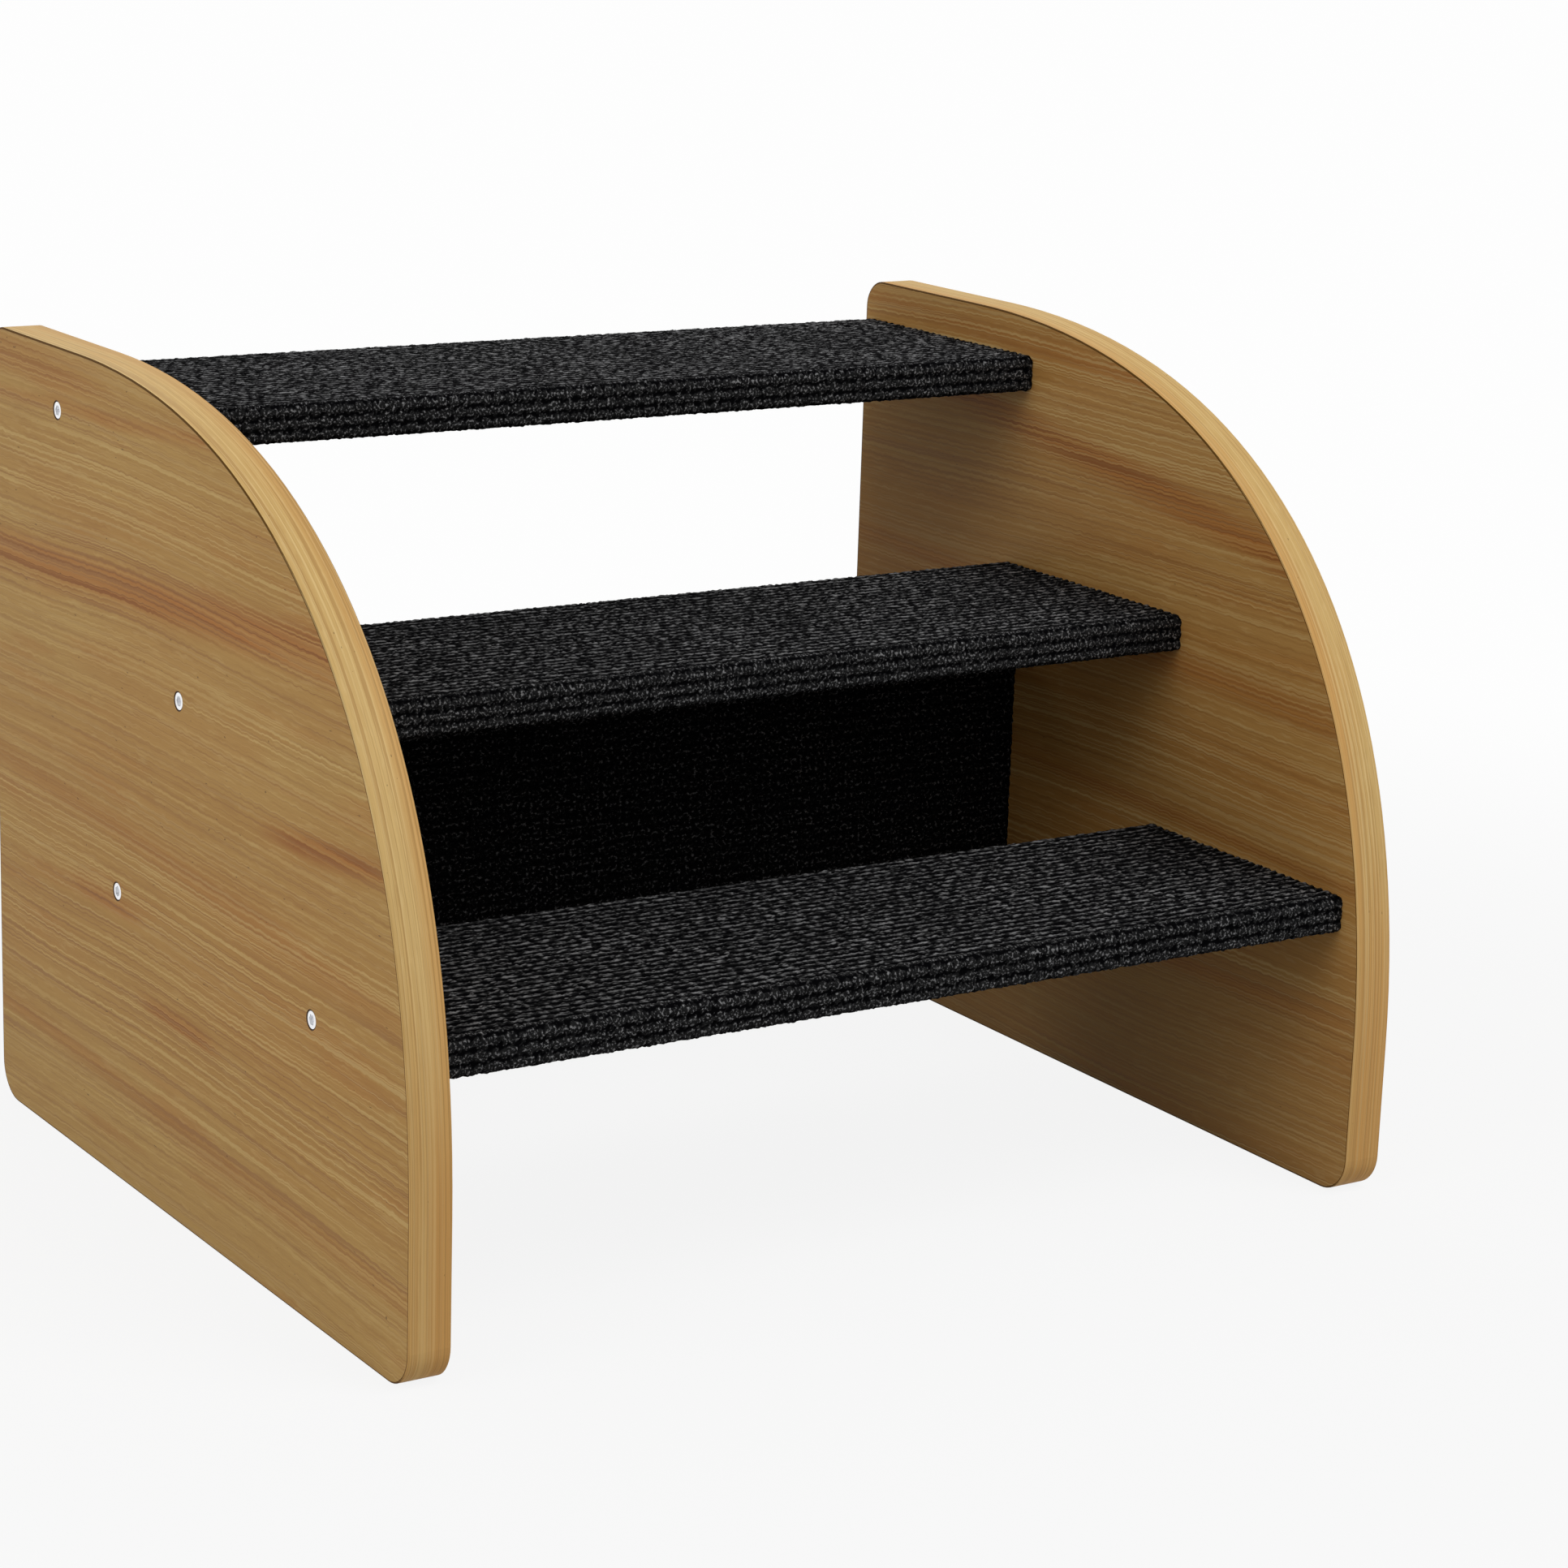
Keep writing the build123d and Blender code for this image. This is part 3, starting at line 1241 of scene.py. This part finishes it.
@dataclass
class Lamp:
    """One soft area lamp that faces a point."""

    name: str
    place: Triple
    power: float
    size: float
    target: Triple = (0.0, 0.0, 0.17)

    def build(self) -> None:
        """Create the lamp."""
        data = bpy.data.lights.new(self.name, "AREA")
        data.shape = "SQUARE"
        data.size = self.size
        data.energy = self.power
        lamp = bpy.data.objects.new(self.name, data)
        lamp.location = self.place
        aim = Vector(self.target) - Vector(self.place)
        lamp.rotation_euler = aim.to_track_quat("-Z", "Y").to_euler()
        bpy.context.scene.collection.objects.link(lamp)


@dataclass
class Studio:
    """A pale floor, a white surround and soft lamps."""

    lamps: tuple[Lamp, ...] = (
        Lamp("key", (0.8, -1.5, 2.4), power=38.0, size=1.4),
        Lamp("fill", (-2.6, -0.4, 1.2), power=29.0, size=1.6),
        Lamp("back", (0.3, 2.2, 2.0), power=12.0, size=1.6),
    )
    ambient: float = 0.3
    ambient_colour: Colour = (1.0, 1.0, 1.0)
    floor_size: float = 12.0
    floor_colour: Colour = (0.6, 0.6, 0.6)
    surround: Colour = (0.985, 0.985, 0.985)
    floor_glow: float = 0.9
    shade_from: float = 0.4
    shade_to: float = 1.1

    def build(self) -> None:
        """Create the floor, the world and the lamps."""
        self._floor()
        self._world()
        for lamp in self.lamps:
            lamp.build()
        bpy.context.scene.view_settings.view_transform = "Standard"

    @staticmethod
    def _seeing(graph: Graph) -> Socket:
        """Make the mask of the rays that see the surround.

        Args:
            graph: the floor's or the world's graph.

        Returns:
            1 on camera, glossy and transmission rays, and 0 on all others.
        """
        path = graph.node("ShaderNodeLightPath").outputs
        seeing = graph.math("MAXIMUM", path["Is Camera Ray"], path["Is Glossy Ray"])
        return graph.math("MAXIMUM", seeing, path["Is Transmission Ray"])

    def _floor(self) -> None:
        """Create the floor, near white to the camera and with the object's shadow."""
        half = self.floor_size / 2
        mesh = bpy.data.meshes.new("floor")
        corners = [(half * x, half * y, 0.0) for x, y in ((-1, -1), (1, -1), (1, 1), (-1, 1))]
        mesh.from_pydata(corners, [], [(0, 1, 2, 3)])
        floor = bpy.data.objects.new("floor", mesh)
        bpy.context.scene.collection.objects.link(floor)
        material = bpy.data.materials.new("floor")
        material.use_nodes = True
        material.node_tree.nodes.clear()
        graph = Graph(material.node_tree)
        paint = graph.node("ShaderNodeBsdfDiffuse", {"Color": self.floor_colour})
        glow = graph.node("ShaderNodeEmission", {"Color": self.surround, "Strength": 1.0})
        inputs = {0: graph.frame_place()}
        away = graph.node("ShaderNodeVectorMath", inputs, operation="LENGTH").outputs["Value"]
        glow_share = graph.band(away, self.shade_from, self.shade_to, self.floor_glow, 1.0)
        both = graph.mix_shaders(graph.times(self._seeing(graph), glow_share), paint, glow)
        graph.node("ShaderNodeOutputMaterial", {"Surface": both})
        mesh.materials.append(material)

    def _world(self) -> None:
        """Light the scene evenly, and show white behind it."""
        world = bpy.data.worlds.new("surround")
        bpy.context.scene.world = world
        world.use_nodes = True
        world.node_tree.nodes.clear()
        graph = Graph(world.node_tree)
        inputs = {"Color": self.ambient_colour, "Strength": self.ambient}
        light = graph.node("ShaderNodeBackground", inputs)
        seen = graph.node("ShaderNodeBackground", {"Color": self.surround, "Strength": 1.0})
        both = graph.mix_shaders(self._seeing(graph), light, seen)
        graph.node("ShaderNodeOutputWorld", {"Surface": both})


def main() -> None:
    """Build the studio, then the stairs' looks piece by piece."""
    logging.basicConfig(level=logging.INFO)
    groups = ShaderGroups()
    Camera().build()
    Studio().build()
    boards = {
        "low_tread": BoardPose.TREAD,
        "middle_tread": BoardPose.TREAD,
        "top_tread": BoardPose.TREAD,
        "back_brace": BoardPose.UPRIGHT,
    }
    SidePanels(groups).dress()
    core = RawWoodFinish(base=(0.42, 0.28, 0.16), dark=(0.3, 0.19, 0.1)).material("board_fibre")
    # A darker copy of the tread carpet for the brace: painted shade for the shadow under the middle
    # tread.
    shaded_brace_finish = CarpetFinish(
        groups,
        body=(0.004, 0.004, 0.004),
        fleck=(0.11, 0.11, 0.114),
        speck=Speckle(along=600.0, across=700.0, steps=(0.52, 0.72), lit_crest=(0.25, 0.7)),
    )
    carpets = {
        BoardPose.TREAD: CarpetFinish(groups).material("tread_loop"),
        BoardPose.UPRIGHT: shaded_brace_finish.material("brace_loop_shaded"),
    }
    for seed, (name, pose) in enumerate(boards.items(), FIRST_SEED):
        dress(f"{name}_board", core)
        CarpetedBoard(name, pose, seed).build(carpets[pose])
    beech = RawWoodFinish(base=(0.62, 0.43, 0.24), dark=(0.5, 0.33, 0.17), grain=(60.0, 1500.0, 1500.0))
    Fasteners(tuple(boards), SteelFinish(), beech).dress()


if __name__ == "__main__":
    main()
